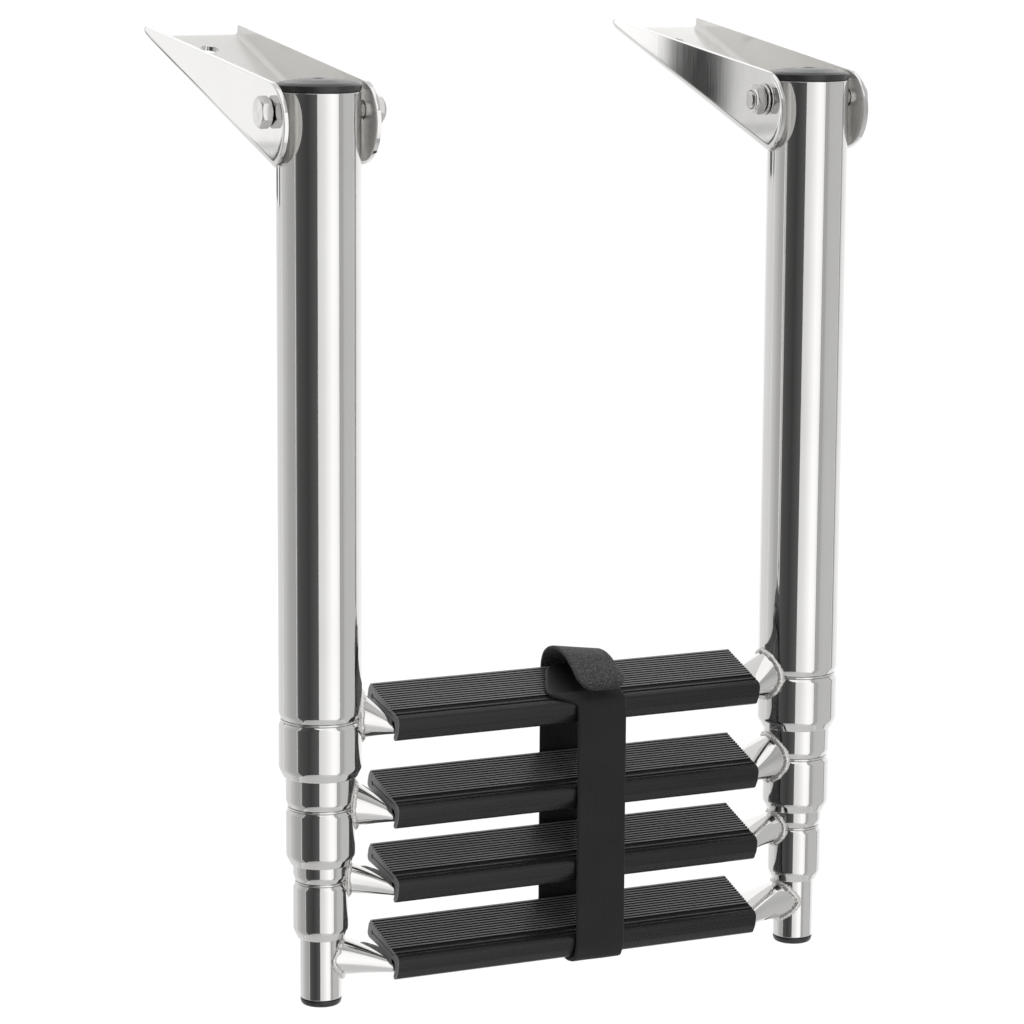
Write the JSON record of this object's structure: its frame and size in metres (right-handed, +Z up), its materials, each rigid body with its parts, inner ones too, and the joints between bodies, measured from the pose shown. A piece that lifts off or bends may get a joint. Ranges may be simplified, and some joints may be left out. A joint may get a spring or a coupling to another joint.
{
  "type": "boat boarding ladder",
  "caption": "Telescoping drop ladder of polished tube with tilted ribbed steps, hinged in two channel deck brackets and held shut by a strap.",
  "frame": {"origin": "midway between the two deck brackets, on the plane of their mounting faces, half way between the two screw holes of each", "axes": "+X along the steps, +Y towards the boat, +Z up along the hanging legs; the mounting faces are tilted 18 degrees about X"},
  "size_m": [0.3084, 0.1793, 0.4412],
  "materials": {
    "polished_steel": "mirror-polished stainless tube and sheet",
    "fasteners": "bright stainless bolts, nuts and washers",
    "black_plastic": "black moulded plugs with a slight sheen",
    "tread_black": "black extruded cover, satin, with fine ribs along it",
    "nylon": "off-white slippery bush",
    "webbing": "black hook-and-loop webbing"
  },
  "bodies": {
    "root": {"bracket_left": "polished_steel", "bracket_right": "polished_steel", "bolt_left": "fasteners", "bolt_right": "fasteners", "nut_left": "fasteners", "nut_right": "fasteners", "washer_left": "fasteners", "washer_right": "fasteners"},
    "stage_1": {"tube_1_left": "polished_steel", "tube_1_right": "polished_steel", "top_cap_left": "black_plastic", "top_cap_right": "black_plastic", "collar_1_left": "polished_steel", "collar_1_right": "polished_steel", "guide_1_left": "nylon", "guide_1_right": "nylon", "tread_core_1": "polished_steel", "tread_cover_1": "tread_black", "strap": "webbing"},
    "stage_2": {"tube_2_left": "polished_steel", "tube_2_right": "polished_steel", "collar_2_left": "polished_steel", "collar_2_right": "polished_steel", "guide_2_left": "nylon", "guide_2_right": "nylon", "glide_2_left": "nylon", "glide_2_right": "nylon", "tread_core_2": "polished_steel", "tread_cover_2": "tread_black"},
    "stage_3": {"tube_3_left": "polished_steel", "tube_3_right": "polished_steel", "collar_3_left": "polished_steel", "collar_3_right": "polished_steel", "guide_3_left": "nylon", "guide_3_right": "nylon", "glide_3_left": "nylon", "glide_3_right": "nylon", "tread_core_3": "polished_steel", "tread_cover_3": "tread_black"},
    "stage_4": {"tube_4_left": "polished_steel", "tube_4_right": "polished_steel", "glide_4_left": "nylon", "glide_4_right": "nylon", "foot_cap_left": "black_plastic", "foot_cap_right": "black_plastic", "tread_core_4": "polished_steel", "tread_cover_4": "tread_black"}
  },
  "joints": [
    {"name": "deck_hinge", "type": "hinge", "parent": "root", "child": "stage_1", "pos_m": [0, -0.09919, -0.00699], "axis": [-1, 0, 0], "range_deg": [0, 252]},
    {"name": "slide_2", "type": "slide", "parent": "stage_1", "child": "stage_2", "axis": [0, 0, -1], "range_m": [0, 0.24], "deforming": ["strap"]},
    {"name": "slide_3", "type": "slide", "parent": "stage_2", "child": "stage_3", "axis": [0, 0, -1], "range_m": [0, 0.245], "deforming": ["strap"]},
    {"name": "slide_4", "type": "slide", "parent": "stage_3", "child": "stage_4", "axis": [0, 0, -1], "range_m": [0, 0.245], "deforming": ["strap"]}
  ]
}
